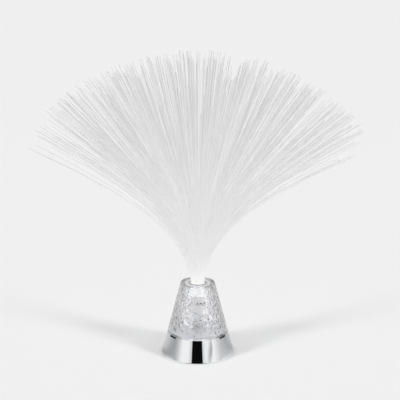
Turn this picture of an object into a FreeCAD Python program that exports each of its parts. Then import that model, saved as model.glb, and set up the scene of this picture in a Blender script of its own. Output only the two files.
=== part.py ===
import FreeCAD, Part
import math
import os

# Battery fibre optic lamp: a chrome-plated skirt, a clear ice-cut cone and a spray of light fibres.
# Origin: the lamp's axis on the table. +Z points up, -Y towards the viewer. Lengths are millimetres.

Vector = FreeCAD.Vector

# Outer cone that the skirt and the clear cone share
base_radius = 37.5
shoulder_radius = 17.9
cone_height = 76.8
skirt_height = 23.4

# Skirt
skirt_wall = 2.0
flange_thickness = 2.0
flange_width = 5.2
post_size = 5.6
post_height = 12.0
plate_screw_inset = 5.8
plate_screw_bearing = 58.5

# Clear cone
cone_wall = 3.4
ice_depth = 1.1
ice_columns = 20
ice_rows = 5
foot_band = 2.6
neck_wall = 5.2
neck_height = 18.8
neck_ledge = 1.5
top_thickness = 3.0
shoulder_chamfer = 1.2
mouth_radius = 8.1
socket_depth = 11.9
socket_wall = 1.7
socket_floor = 1.0
light_hole_radius = 6.6
front_clip_spread = 110.0
clip_width = 6.5
clip_thickness = 1.4
clip_hook = 0.8
clip_hook_height = 1.6
clip_clearance = 0.2
notch_width = 10.0
notch_depth = 1.3

# Underside plate with the battery bay moulded on it
plate_recess = 1.2
plate_thickness = 2.0
plate_clearance = 0.25
bay_wall = 1.6
bay_roof = 1.2
bay_corner = 3.0

# AAA cells side by side, poles turned about
cell_count = 3
cell_radius = 5.25
cell_length = 43.7
cell_nub_radius = 1.9
cell_nub_length = 0.8
cell_pitch = 10.7
cell_side_gap = 0.35
cell_roof_gap = 0.3
cell_floor_gap = 1.2

# Spring contacts and terminal plates
terminal_thickness = 0.4
terminal_width = 8.4
terminal_below = 3.4
terminal_above = 4.6
dimple_radius = 1.5
dimple_height = 0.5
spring_length = 2.2
spring_base_radius = 3.6
spring_tip_radius = 2.4
tag_width = 2.4
tag_rise = 1.2
tag_slot_clearance = 0.4

# Battery door with hook tabs at one end and a captive screw at the other
door_thickness = 1.7
door_ledge = 0.9
door_clearance = 0.3
tab_width = 4.6
tab_reach = 2.4
tab_thickness = 1.1
tab_root = 1.3
tab_clearance = 0.4
ear_width = 8.0
ear_length = 6.6
door_screw_inset = 3.6
door_boss_size = 5.6
door_boss_height = 5.0
door_screw_grip = 2.6
door_screw_clearance = 0.35

# Screws
shank_radius = 1.1
head_radius = 2.1
head_height = 1.1
screw_grip = 6.5
screw_clearance = 0.15
thread_clearance = 0.05
drive_width = 0.6
drive_depth = 0.5

# Slide switch
switch_inset = 9.0
switch_length = 8.6
switch_width = 3.8
switch_height = 3.5
switch_wall = 0.6
switch_travel = 2.0
switch_rib = 1.0
knob_length = 3.0
knob_width = 1.8
knob_floor_gap = 0.35
knob_shoe_length = 4.0
knob_shoe_height = 1.2
knob_clearance = 0.2
groove_count = 3
groove_depth = 0.3
scoop_length = 11.0
scoop_width = 6.4
scoop_depth = 0.7

# Circuit board on two pillars
board_length = 36.0
board_width = 28.0
board_thickness = 1.2
pillar_x = 14.5
pillar_size = 4.6
pillar_height = 1.4
board_screw_grip = 2.2
resistor_radius = 1.1
resistor_length = 6.2
resistor_y = 8.0
chip_length = 5.0
chip_width = 3.9
chip_height = 1.5
chip_y = -8.5
wire_size = 1.0
wire_lift = 1.2

# Reflector and light source
reflector_thickness = 1.0
reflector_clearance = 0.5
collar_radius = 9.0
collar_height = 3.6
cup_radius = 7.8
lamp_radius = 2.5
lamp_clearance = 0.15
lamp_flange_radius = 2.95
lamp_flange_height = 1.0
lamp_body_height = 5.0
lead_size = 0.5
lead_spacing = 2.54

# Light tube between the reflector and the bundle
tube_foot_radius = 12.3
tube_top_radius = 8.5
tube_wall = 1.2
tube_top_gap = 0.2

# Bundle sleeve
sleeve_clearance = 0.1
sleeve_wall = 0.5
sleeve_drop = 1.0

# Fibres: three-sided strands in rings, each in its own upright plane through the axis
fibre_width = 1.0
ring_pitch = 0.98
ring_count = 7
first_ring_radius = 0.92
strand_gap = 0.1
fibre_reach = 244.0
fibre_trim = 0.075
outer_tilt = 64.0
tilt_growth = 1.12
tilt_scatter = 0.7
bend_length = 70.0
bend_spacing = 1.75
bends = 5
golden = (math.sqrt(5.0) - 1.0) / 2.0

# Sides of what is small, sealed in or repeated
shell_sides = 32
tube_sides = 24
cell_sides = 24
screw_sides = 10

# Heights worked out from the sizes above
plate_bottom = plate_recess
plate_top = plate_bottom + plate_thickness
door_top = plate_bottom + door_thickness
cell_z = door_top + cell_floor_gap + cell_radius
roof_bottom = cell_z + cell_radius + cell_roof_gap
roof_top = roof_bottom + bay_roof
board_bottom = roof_top + pillar_height
board_top = board_bottom + board_thickness
flange_bottom = skirt_height - flange_thickness
reflector_top = skirt_height + reflector_thickness
socket_bottom = cone_height - socket_depth
socket_foot = socket_bottom - socket_floor
neck_bottom = cone_height - neck_height
cavity_roof = cone_height - top_thickness
sleeve_top = cone_height - sleeve_drop

# Plan sizes worked out from the sizes above
cell_rows = [(i - (cell_count - 1) / 2) * cell_pitch for i in range(cell_count)]
tab_rows = [(low + high) / 2 for low, high in zip(cell_rows, cell_rows[1:])]
contact_stack = 2 * terminal_thickness + dimple_height + spring_length
bay_half_x = (cell_length + cell_nub_length + contact_stack) / 2
bay_half_y = cell_rows[-1] + cell_radius + cell_side_gap
bay_outer_x = bay_half_x + bay_wall
bay_outer_y = bay_half_y + bay_wall
opening_half_x = bay_half_x + door_ledge
opening_half_y = bay_half_y + door_ledge
door_half_x = opening_half_x - door_clearance
door_half_y = opening_half_y - door_clearance
ear_end = door_half_x + ear_length
door_screw_x = ear_end - door_screw_inset
terminal_inner = bay_half_x - terminal_thickness
sleeve_radius = mouth_radius - sleeve_clearance
lamp_hole_radius = lamp_radius + lamp_clearance


def cone_radius(z):
    """Radius of the shared outer cone at a height above the table."""
    return base_radius - (base_radius - shoulder_radius) * z / cone_height


def inner_flat(z):
    """Distance from the axis to the flats of the skirt's inner wall."""
    return (cone_radius(z) - skirt_wall) * math.cos(math.pi / shell_sides)


plate_screw_circle = inner_flat(plate_top) - plate_screw_inset
plate_screw_x = plate_screw_circle * math.cos(math.radians(plate_screw_bearing))
plate_screw_y = plate_screw_circle * math.sin(math.radians(plate_screw_bearing))
switch_y = switch_inset - inner_flat(plate_top)
flange_inner = cone_radius(skirt_height) - skirt_wall - flange_width
clip_outer = inner_flat(flange_bottom) - 2 * clip_clearance
clip_inner = clip_outer - clip_thickness
hook_inner = clip_inner - clip_hook


def box(x_low, x_high, y_low, y_high, z_low, z_high):
    """A box between two corners."""
    return Part.makeBox(x_high - x_low, y_high - y_low, z_high - z_low, Vector(x_low, y_low, z_low))


def block(x, y, half_x, half_y, z_low, z_high):
    """A box about an upright centre line."""
    return box(x - half_x, x + half_x, y - half_y, y + half_y, z_low, z_high)


def flat_face(points):
    """A flat face with straight edges."""
    return Part.Face(Part.makePolygon(points + points[:1]))


def stack(sections, split=False):
    """A closed solid through sections of equal point count. Skewed sides are split in two."""
    faces = [flat_face(sections[0]), flat_face(sections[-1])]
    count = len(sections[0])
    for low, high in zip(sections, sections[1:]):
        for i in range(count):
            j = (i + 1) % count
            if split:
                faces.append(flat_face([low[i], low[j], high[i]]))
                faces.append(flat_face([low[j], high[j], high[i]]))
            else:
                faces.append(flat_face([low[i], low[j], high[j], high[i]]))
    solid = Part.Solid(Part.Shell(faces))
    if solid.Volume < 0:
        solid.reverse()
    return solid


def ring_points(radius, z, sides, x=0.0, y=0.0, turn=0.0):
    """Points of an upright polygon ring."""
    angles = [2 * math.pi * (i + turn) / sides for i in range(sides)]
    return [Vector(x + radius * math.cos(a), y + radius * math.sin(a), z) for a in angles]


def facets(outline, sides, x=0.0, y=0.0):
    """A many-sided turned solid from (radius, height) pairs, low to high."""
    return stack([ring_points(radius, z, sides, x, y) for radius, z in outline])


def rod(radius, z_low, z_high, x=0.0, y=0.0, sides=screw_sides):
    """A small upright many-sided rod, used for screws and their holes alike."""
    return facets([(radius, z_low), (radius, z_high)], sides, x, y)


def lying(shape, x, y, z, way):
    """A shape drawn upright at the origin, laid along X at a point. way is +1 or -1."""
    copy = shape.copy()
    copy.rotate(Vector(0, 0, 0), Vector(0, 1, 0), 90 * way)
    copy.translate(Vector(x, y, z))
    return copy


def turned(shape, degrees):
    """A copy turned about the lamp's axis."""
    copy = shape.copy()
    copy.rotate(Vector(0, 0, 0), Vector(0, 0, 1), degrees)
    return copy


def swept(path, section, place):
    """A bar along a planar path of (across, up) points, mitred at its bends.

    section holds (towards the path's right, sideways) pairs, and place makes a point of all three.
    """
    sections = []
    for i, (a, b) in enumerate(path):
        headings = []
        if i > 0:
            headings.append(math.atan2(b - path[i - 1][1], a - path[i - 1][0]))
        if i < len(path) - 1:
            headings.append(math.atan2(path[i + 1][1] - b, path[i + 1][0] - a))
        heading = sum(headings) / len(headings)
        stretch = 1 / math.cos(headings[0] - heading)
        right = (math.sin(heading) * stretch, -math.cos(heading) * stretch)
        sections.append([place(a + right[0] * n, b + right[1] * n, c) for n, c in section])
    return stack(sections)


def four_corners(x, y):
    """The four mirror images of a point about the axis."""
    return [(sx * x, sy * y) for sx in (-1, 1) for sy in (-1, 1)]


def clip_turns():
    """Bearings of the clips: one at the back and two towards the viewer."""
    return [90, 270 - front_clip_spread / 2, 270 + front_clip_spread / 2]


def base_skirt():
    """Chrome-plated skirt: a thin cone with an inward flange, notched clip slots and four posts."""
    outer = Part.makeCone(base_radius, cone_radius(skirt_height), skirt_height)
    below = -plate_recess
    hollow = facets([(cone_radius(below) - skirt_wall, below),
                     (cone_radius(flange_bottom) - skirt_wall, flange_bottom)], shell_sides)
    above = skirt_height + flange_thickness
    posts = []
    for x, y in four_corners(plate_screw_x, plate_screw_y):
        out_y = math.copysign(base_radius, y)
        in_y = y - math.copysign(post_size / 2, y)
        posts.append(box(x - post_size / 2, x + post_size / 2, min(in_y, out_y), max(in_y, out_y),
                         plate_top, plate_top + post_height))
    for post in posts:
        hollow = hollow.cut(post)
    shell = outer.cut(hollow).cut(rod(flange_inner, flange_bottom, above, sides=shell_sides))
    for x, y in four_corners(plate_screw_x, plate_screw_y):
        pilot_top = plate_top + screw_grip + screw_clearance
        shell = shell.cut(rod(shank_radius + thread_clearance, plate_top, pilot_top, x, y))
    slot = box(hook_inner - clip_clearance, clip_outer + clip_clearance,
               -clip_width / 2 - clip_clearance, clip_width / 2 + clip_clearance,
               flange_bottom, skirt_height)
    notch = box(clip_outer, base_radius, -notch_width / 2, notch_width / 2,
                skirt_height - notch_depth, skirt_height)
    for bearing in clip_turns():
        shell = shell.cut(turned(slot.fuse(notch), bearing))
    return shell


def ice_cavity():
    """Hollow of the clear cone: a smooth foot band, facets like cracked ice and a thicker neck."""
    smooth_top = skirt_height + foot_band
    sections = [ring_points(cone_radius(skirt_height) - cone_wall, skirt_height - foot_band, ice_columns),
                ring_points(cone_radius(smooth_top) - cone_wall, smooth_top, ice_columns)]
    for row in range(1, ice_rows):
        z = smooth_top + (neck_bottom - smooth_top) * row / ice_rows
        ring = []
        for column in range(ice_columns):
            shift = math.fmod((row * ice_columns + column) * golden, 1.0)
            radius = cone_radius(z) - cone_wall - ice_depth * shift
            angle = 2 * math.pi * (column + row / 2) / ice_columns
            ring.append(Vector(radius * math.cos(angle), radius * math.sin(angle), z))
        sections.append(ring)
    neck = [(neck_bottom, cone_wall), (neck_bottom + neck_ledge, neck_wall), (cavity_roof, neck_wall)]
    for z, wall in neck:
        sections.append(ring_points(cone_radius(z) - wall, z, ice_columns, turn=ice_rows / 2))
    return stack(sections, split=True)


def clear_cone():
    """Clear cone: a hollow shell, a socket that hangs from its top and three clips at its foot."""
    chamfer_z = cone_height - shoulder_chamfer
    body = Part.makeCone(cone_radius(skirt_height), cone_radius(chamfer_z), chamfer_z - skirt_height,
                         Vector(0, 0, skirt_height))
    body = body.fuse(Part.makeCone(cone_radius(chamfer_z), cone_radius(cone_height) - shoulder_chamfer,
                                   shoulder_chamfer, Vector(0, 0, chamfer_z)))
    socket = rod(mouth_radius + socket_wall, socket_foot, cone_height, sides=tube_sides)
    body = body.cut(ice_cavity().cut(socket))
    body = body.cut(rod(light_hole_radius, socket_foot, socket_bottom, sides=tube_sides))
    body = body.cut(Part.makeCylinder(mouth_radius, socket_depth, Vector(0, 0, socket_bottom)))
    hook_top = flange_bottom - clip_clearance
    hook_low = hook_top - clip_hook_height
    clip = box(clip_inner, clip_outer, -clip_width / 2, clip_width / 2, hook_low, skirt_height)
    hook = box(hook_inner, clip_inner, -clip_width / 2, clip_width / 2, hook_low, hook_top)
    for bearing in clip_turns():
        body = body.fuse(turned(clip.fuse(hook), bearing))
    return body.removeSplitter()


def tab_sweep():
    """Furthest reach of a door tab from the edge that the door turns about."""
    return math.hypot(tab_reach, plate_thickness + door_clearance + tab_thickness)


def terminal_places():
    """(end, row) of the two terminals that are wired to the board."""
    return [(1, cell_rows[0]), (-1, cell_rows[-1])]


def switch_window(z_low, z_high):
    """Slot that the knob's stem travels in."""
    half_x = (knob_length + switch_travel) / 2 + knob_clearance
    return block(0, switch_y, half_x, knob_width / 2 + knob_clearance, z_low, z_high)


def bay_plate():
    """Underside plate and battery bay in one moulding."""
    body = Part.makeCylinder(inner_flat(plate_top) - plate_clearance, plate_thickness,
                             Vector(0, 0, plate_bottom))
    walls = block(0, 0, bay_outer_x, bay_outer_y, plate_top, roof_top)
    upright = [e for e in walls.Edges if abs(e.BoundBox.ZLength - (roof_top - plate_top)) < 1e-4]
    body = body.fuse(walls.makeChamfer(bay_corner, upright))
    boss_top = plate_top + door_boss_height
    body = body.fuse(box(bay_half_x + bay_wall / 2, door_screw_x + door_boss_size / 2,
                         -door_boss_size / 2, door_boss_size / 2, plate_top, boss_top))
    for x in (-pillar_x, pillar_x):
        body = body.fuse(block(x, 0, pillar_size / 2, pillar_size / 2, roof_top, board_bottom))
    for side in (-1, 1):
        rib_x = side * (switch_length / 2 + switch_rib / 2 + knob_clearance)
        body = body.fuse(block(rib_x, switch_y, switch_rib / 2, switch_width / 2,
                               plate_top, plate_top + switch_height))
    body = body.cut(block(0, 0, bay_half_x, bay_half_y, plate_bottom, roof_bottom))
    body = body.cut(block(0, 0, opening_half_x, opening_half_y, plate_bottom, plate_top))
    ear_half = ear_width / 2 + door_clearance
    body = body.cut(box(0, ear_end + door_clearance, -ear_half, ear_half, plate_bottom, plate_top))
    window_half = tab_width / 2 + tab_clearance
    window_top = plate_bottom + tab_sweep() + tab_clearance
    for y in tab_rows:
        body = body.cut(box(-bay_outer_x, 0, y - window_half, y + window_half, plate_top, window_top))
    body = body.cut(rod(shank_radius + door_screw_clearance, plate_top,
                        plate_top + door_screw_grip + door_clearance, door_screw_x, 0))
    for x, y in four_corners(plate_screw_x, plate_screw_y):
        body = body.cut(rod(shank_radius + screw_clearance, plate_bottom, plate_top, x, y))
        body = body.cut(rod(head_radius + screw_clearance, plate_bottom, plate_bottom + head_height, x, y))
    for x in (-pillar_x, pillar_x):
        body = body.cut(rod(shank_radius + thread_clearance,
                            board_bottom - board_screw_grip - screw_clearance, board_bottom, x, 0))
    for end, y in terminal_places():
        middle = end * (bay_half_x - terminal_thickness / 2)
        body = body.cut(block(middle, y, terminal_thickness / 2 + tag_slot_clearance,
                              tag_width / 2 + tag_slot_clearance, roof_bottom, roof_top))
    body = body.cut(switch_window(plate_bottom, plate_top))
    body = body.cut(block(0, switch_y, scoop_length / 2, scoop_width / 2,
                          plate_bottom, plate_bottom + scoop_depth))
    return body.removeSplitter()


def battery_door():
    """Door panel with hook tabs at -X and the screw's ear at +X."""
    door = block(0, 0, door_half_x, door_half_y, plate_bottom, door_top)
    door = door.fuse(box(0, ear_end, -ear_width / 2, ear_width / 2, plate_bottom, door_top))
    tab_low = plate_top + door_clearance
    tab_high = tab_low + tab_thickness
    tab_end = -opening_half_x - tab_reach
    root_end = -door_half_x + tab_root
    for y in tab_rows:
        low = y - tab_width / 2
        high = y + tab_width / 2
        door = door.fuse(box(-door_half_x, root_end, low, high, plate_bottom, tab_high))
        door = door.fuse(box(tab_end, root_end, low, high, tab_low, tab_high))
    door = door.cut(rod(shank_radius + screw_clearance, plate_bottom, door_top, door_screw_x, 0))
    door = door.cut(rod(head_radius + screw_clearance, plate_bottom,
                        plate_bottom + head_height, door_screw_x, 0))
    return door.removeSplitter()


def screw(x, y, head_z, tip_z):
    """A slotted pan-head screw. Its head lies on the far side of head_z from its tip."""
    way = 1 if tip_z > head_z else -1
    face_z = head_z - way * head_height
    body = rod(head_radius, min(face_z, head_z), max(face_z, head_z), x, y)
    body = body.fuse(rod(shank_radius, min(head_z, tip_z), max(head_z, tip_z), x, y))
    floor_z = face_z + way * drive_depth
    drive = block(x, y, drive_width / 2, 2 * head_radius, min(face_z, floor_z), max(face_z, floor_z))
    return body.cut(drive).removeSplitter()


def door_screw():
    """Captive screw that stays in the door."""
    return screw(door_screw_x, 0, plate_bottom + head_height, plate_top + door_screw_grip)


def plate_screws():
    """Four screws that hold the underside plate."""
    return [screw(x, y, plate_bottom + head_height, plate_top + screw_grip)
            for x, y in four_corners(plate_screw_x, plate_screw_y)]


def board_screws():
    """Two screws that hold the board, heads up."""
    return [screw(x, 0, board_top, board_bottom - board_screw_grip) for x in (-pillar_x, pillar_x)]


def nub_way(row):
    """+1 where a cell's nub points to +X, -1 where it points to -X."""
    return 1 if row % 2 == 0 else -1


def battery(row):
    """One cell with its nub, lying along X."""
    shoulder = cell_length
    body = facets([(cell_radius, 0), (cell_radius, shoulder)], cell_sides)
    body = body.fuse(rod(cell_nub_radius, shoulder, shoulder + cell_nub_length))
    foot = -nub_way(row) * (terminal_inner - spring_length)
    return lying(body.removeSplitter(), foot, cell_rows[row], cell_z, nub_way(row))


def contact_springs():
    """Spring contacts as plain tapered solids of their pressed-in outer shape."""
    spring = facets([(spring_base_radius, 0), (spring_tip_radius, spring_length)], screw_sides)
    return [lying(spring, -nub_way(row) * terminal_inner, y, cell_z, nub_way(row))
            for row, y in enumerate(cell_rows)]


def terminal_plate(end, rows, tagged):
    """A terminal plate behind the ends of one or two cells, with dimples where nubs press."""
    near, far = sorted((end * terminal_inner, end * bay_half_x))
    low = cell_rows[rows[0]] - terminal_width / 2
    high = cell_rows[rows[-1]] + terminal_width / 2
    plate = box(near, far, low, high, cell_z - terminal_below, cell_z + terminal_above)
    dimple = rod(dimple_radius, 0, dimple_height)
    for row in rows:
        if nub_way(row) == end:
            plate = plate.fuse(lying(dimple, end * terminal_inner, cell_rows[row], cell_z, -end))
    if tagged:
        y = cell_rows[rows[0]]
        plate = plate.fuse(box(near, far, y - tag_width / 2, y + tag_width / 2,
                               cell_z + terminal_above, roof_top + tag_rise))
    return plate.removeSplitter()


def terminal_plates():
    """Plates at both ends that put the cells in series."""
    last = cell_count - 1
    plates = [terminal_plate(1, [0], True), terminal_plate(-1, [last], True)]
    for row in range(last):
        plates.append(terminal_plate(-nub_way(row), [row, row + 1], False))
    return plates


def circuit_board():
    """Board on two pillars."""
    board = block(0, 0, board_length / 2, board_width / 2, board_bottom, board_top)
    for x in (-pillar_x, pillar_x):
        board = board.cut(rod(shank_radius + screw_clearance, board_bottom, board_top, x, 0))
    return board


def resistor():
    """Resistor lying on the board."""
    bar = rod(resistor_radius, 0, resistor_length)
    return lying(bar, -resistor_length / 2, resistor_y, board_top + resistor_radius, 1)


def control_chip():
    """Colour-change chip on the board."""
    return block(0, chip_y, chip_length / 2, chip_width / 2, board_top, board_top + chip_height)


def wires():
    """Leads from the two tagged terminals and from the switch to the board."""
    half = wire_size / 2
    section = [(-half, -half), (half, -half), (half, half), (-half, half)]
    level = board_top + wire_lift + half
    leads = []
    tag_x = bay_half_x - terminal_thickness / 2
    foot = roof_top + tag_rise
    rise_x = board_length / 2 + wire_size
    landing = board_length / 2 - wire_size
    for end, y in terminal_places():
        path = [(tag_x, foot), (tag_x, foot + wire_size), (rise_x, foot + wire_size), (rise_x, level),
                (landing, level), (landing, board_top)]
        leads.append(swept(path, section, lambda a, b, c, end=end, y=y: Vector(end * a, y + c, b)))
    start = -switch_y
    foot = plate_top + switch_height
    clear_y = max(bay_outer_y, board_width / 2) + wire_size
    landing = board_width / 2 - wire_size
    for x in (-lead_spacing, lead_spacing):
        path = [(start, foot), (start, foot + wire_size), (clear_y, foot + wire_size + start - clear_y),
                (clear_y, level - wire_size), (clear_y - wire_size, level),
                (landing + wire_size, level), (landing, level - wire_size), (landing, board_top)]
        leads.append(swept(path, section, lambda a, b, c, x=x: Vector(x + c, -a, b)))
    return leads


def switch_body():
    """Slide switch case with the chamber that its shoe slides in."""
    body = block(0, switch_y, switch_length / 2, switch_width / 2, plate_top, plate_top + switch_height)
    floor_z = plate_top + switch_wall
    body = body.cut(block(0, switch_y, (knob_shoe_length + switch_travel) / 2 + knob_clearance,
                          switch_width / 2 - switch_wall,
                          floor_z, floor_z + knob_shoe_height + 2 * knob_clearance))
    return body.cut(switch_window(plate_top, floor_z))


def switch_knob():
    """Slider: a stem through the plate and a shoe inside the switch, drawn in the off place."""
    off_x = -switch_travel / 2
    shoe_low = plate_top + switch_wall + knob_clearance
    knob = block(off_x, switch_y, knob_length / 2, knob_width / 2, knob_floor_gap, shoe_low)
    for i in range(groove_count):
        x = off_x + (i - (groove_count - 1) / 2) * knob_length / groove_count
        knob = knob.cut(block(x, switch_y, knob_length / groove_count / 4, knob_width,
                              knob_floor_gap, knob_floor_gap + groove_depth))
    shoe_half_y = switch_width / 2 - switch_wall - knob_clearance
    knob = knob.fuse(block(off_x, switch_y, knob_shoe_length / 2, shoe_half_y,
                           shoe_low, shoe_low + knob_shoe_height))
    return knob.removeSplitter()


def reflector():
    """White disc on the flange with a cupped collar round the light source."""
    disc_radius = min(cone_radius(skirt_height) - cone_wall - ice_depth, hook_inner) - reflector_clearance
    collar_top = reflector_top + collar_height
    disc = facets([(disc_radius, skirt_height), (disc_radius, reflector_top)], shell_sides)
    body = disc.fuse(facets([(collar_radius, reflector_top), (collar_radius, collar_top)], tube_sides))
    cup = facets([(lamp_hole_radius, reflector_top), (cup_radius, collar_top)], tube_sides)
    hole = facets([(lamp_hole_radius, skirt_height), (lamp_hole_radius, reflector_top)], tube_sides)
    return body.cut(cup).cut(hole).removeSplitter()


def light_source():
    """Colour-changing diode: flange under the reflector, domed body through it, two leads."""
    flange_low = skirt_height - lamp_flange_height
    body_top = skirt_height + lamp_body_height
    half_dome = math.sqrt(0.5) * lamp_radius
    body = facets([(lamp_flange_radius, flange_low), (lamp_flange_radius, skirt_height)], tube_sides)
    body = body.fuse(facets([(lamp_radius, skirt_height), (lamp_radius, body_top),
                             (half_dome, body_top + half_dome),
                             (half_dome / 2, body_top + lamp_radius)], tube_sides))
    for x in (-lead_spacing / 2, lead_spacing / 2):
        body = body.fuse(block(x, 0, lead_size / 2, lead_size / 2, board_top, flange_low))
    return body.removeSplitter()


def light_tube():
    """Clear tapered tube that leads the light up to the bundle."""
    top = socket_foot - tube_top_gap
    outer = facets([(tube_foot_radius, reflector_top), (tube_top_radius, top)], tube_sides)
    return outer.cut(facets([(tube_foot_radius - tube_wall, reflector_top),
                             (tube_top_radius - tube_wall, top)], tube_sides))


def bundle_sleeve():
    """Ferrule that gathers the strands in the cone's socket."""
    outer = rod(sleeve_radius, socket_bottom, sleeve_top, sides=shell_sides)
    return outer.cut(rod(sleeve_radius - sleeve_wall, socket_bottom, sleeve_top, sides=shell_sides))


def strand_path(radius, tilt, length):
    """(radius, height) points of one strand that leans out and straightens along its length."""
    across = radius
    up = sleeve_top
    path = [(across, socket_bottom), (across, up)]
    marks = [length * (i / bends) ** bend_spacing for i in range(bends + 1)]
    leans = [tilt * (1 - math.exp(-mark / bend_length)) for mark in marks]
    for i in range(bends):
        half_turn = (leans[i + 1] - leans[i]) / 2
        chord = (marks[i + 1] - marks[i]) * math.sin(half_turn) / half_turn
        across += chord * math.sin(leans[i] + half_turn)
        up += chord * math.cos(leans[i] + half_turn)
        path.append((across, up))
    return path


def fibre_ring(ring):
    """One ring of strands: as many opposite pairs as fit at the neck, fanned out and cut ragged."""
    depth = fibre_width * math.sqrt(0.75)
    section = [(2 * depth / 3, 0), (-depth / 3, fibre_width / 2), (-depth / 3, -fibre_width / 2)]
    radius = first_ring_radius + ring * ring_pitch
    room = math.atan((fibre_width + strand_gap) / 2 / (radius - depth / 3))
    pairs = int(math.pi / room / 2)
    share = ((ring + 1) / ring_count) ** tilt_growth
    inner_share = (ring / ring_count) ** tilt_growth
    strands = []
    for i in range(2 * pairs):
        azimuth = 2 * math.pi * (i / (2 * pairs) + golden * ring)
        place_in_half = i % pairs + 1
        scatter = math.fmod(place_in_half * golden + ring * golden * golden, 1.0)
        raggedness = math.fmod(place_in_half * golden * golden * 3 + ring * golden, 1.0)
        tilt = math.radians(outer_tilt) * (share - tilt_scatter * scatter * (share - inner_share))
        length = fibre_reach * (1 - fibre_trim * raggedness)
        outward = Vector(math.cos(azimuth), math.sin(azimuth), 0)
        aside = Vector(-math.sin(azimuth), math.cos(azimuth), 0)

        def place(a, b, c, outward=outward, aside=aside):
            return outward * a + aside * c + Vector(0, 0, b)

        strands.append(swept(strand_path(radius, tilt, length), section, place))
    return strands


def save(name, shapes):
    """Write one node, as a single solid or as a group of separate solids."""
    shape = Part.makeCompound(shapes) if isinstance(shapes, list) else shapes
    shape.exportStep("parts/" + name + ".step")
    state = "valid" if shape.isValid() else "NOT VALID"
    print(name, len(shape.Solids), "solids", round(shape.Volume, 1), "mm3", state)


os.makedirs("parts", exist_ok=True)
save("base_skirt", base_skirt())
save("clear_cone", clear_cone())
save("bay_plate", bay_plate())
save("battery_door", battery_door())
save("door_screw", door_screw())
save("plate_screws", plate_screws())
for row in range(cell_count):
    save("battery_" + str(row + 1), battery(row))
save("contact_springs", contact_springs())
save("terminal_plates", terminal_plates())
save("circuit_board", circuit_board())
save("board_screws", board_screws())
save("resistor", resistor())
save("control_chip", control_chip())
save("wires", wires())
save("switch_body", switch_body())
save("switch_knob", switch_knob())
save("reflector", reflector())
save("light_source", light_source())
save("light_tube", light_tube())
save("bundle_sleeve", bundle_sleeve())
for ring in range(ring_count):
    save("fibre_ring_" + str(ring + 1), fibre_ring(ring))
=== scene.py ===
# %% [markdown]
# A battery fibre optic lamp. The construction is already settled, so this lesson gives each piece
# its finish and its fine shape. Its bodies carry every piece that is made here. The box is kept at
# once, because the dressed lamp has to stay inside it.

# %% Load the frame
import math
import random

import bmesh
import bpy
from mathutils import Matrix, Vector


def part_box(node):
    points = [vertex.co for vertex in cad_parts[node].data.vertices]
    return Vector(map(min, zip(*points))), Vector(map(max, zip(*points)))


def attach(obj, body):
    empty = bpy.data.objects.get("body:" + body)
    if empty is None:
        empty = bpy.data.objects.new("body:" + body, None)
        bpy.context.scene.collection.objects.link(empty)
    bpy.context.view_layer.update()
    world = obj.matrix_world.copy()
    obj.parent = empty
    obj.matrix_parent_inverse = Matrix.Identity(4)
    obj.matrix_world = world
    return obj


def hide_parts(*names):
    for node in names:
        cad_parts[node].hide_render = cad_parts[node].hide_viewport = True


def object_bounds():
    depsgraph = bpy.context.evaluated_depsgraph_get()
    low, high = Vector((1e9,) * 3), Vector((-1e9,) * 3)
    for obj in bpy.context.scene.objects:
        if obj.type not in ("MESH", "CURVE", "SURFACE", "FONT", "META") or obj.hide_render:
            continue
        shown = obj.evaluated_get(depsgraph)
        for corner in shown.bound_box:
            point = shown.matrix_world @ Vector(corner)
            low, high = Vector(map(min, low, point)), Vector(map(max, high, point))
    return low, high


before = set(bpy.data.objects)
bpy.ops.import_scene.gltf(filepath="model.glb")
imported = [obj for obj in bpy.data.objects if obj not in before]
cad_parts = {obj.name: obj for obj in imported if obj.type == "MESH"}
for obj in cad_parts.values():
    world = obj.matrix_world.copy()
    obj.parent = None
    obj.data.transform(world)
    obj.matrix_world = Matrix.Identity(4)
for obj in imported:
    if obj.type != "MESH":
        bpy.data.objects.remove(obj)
cad_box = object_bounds()
MM = 0.001

# %% [markdown]
# The camera stands where the photograph's did: a long lens, about sixteen degrees above the table.
# Its place was worked out from the known taper of the base, so the framing needs no shift.
# It looks at a point a little right of the axis, because the lamp stands a little left of centre.

# %% Place the camera
camera_distance = 1645 * MM
camera_lift = math.radians(16.4)
aim_point = Vector((2.4 * MM, 0, 166 * MM))
lens_length = 144

camera_data = bpy.data.cameras.new("camera")
camera_data.lens = lens_length
camera_data.sensor_width = 36
camera = bpy.data.objects.new("camera", camera_data)
camera.location = aim_point + camera_distance * Vector((0, -math.cos(camera_lift), math.sin(camera_lift)))
camera.rotation_euler = (math.pi / 2 - camera_lift, 0, 0)
bpy.context.scene.collection.objects.link(camera)
bpy.context.scene.camera = camera
bpy.context.scene.view_settings.view_transform = "Standard"
print("camera at", [round(c, 3) for c in camera.location])

# %% [markdown]
# Materials are node trees. Two helpers keep them short.
# One turns a written colour into the linear values that the renderer adds and multiplies.
# The other adds any node, with its options, its socket values and its links in one call.

# %% Helpers for materials


def linear(hex_colour):
    """An sRGB colour such as #E0E2E4 as linear red, green, blue and alpha."""
    levels = [int(hex_colour[i:i + 2], 16) / 255 for i in (1, 3, 5)]
    return [v / 12.92 if v <= 0.04045 else ((v + 0.055) / 1.055) ** 2.4 for v in levels] + [1.0]


def grey(level):
    """A linear grey level as red, green, blue and alpha."""
    return [level, level, level, 1.0]


def add(tree, kind, values=None, links=None, **options):
    """Add one node, set its options and socket values, and link outputs into its sockets."""
    node = tree.nodes.new("ShaderNode" + kind)
    for name, option in options.items():
        setattr(node, name, option)
    for name, value in (values or {}).items():
        node.inputs[name].default_value = value
    for name, output in (links or {}).items():
        tree.links.new(output, node.inputs[name])
    return node


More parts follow.
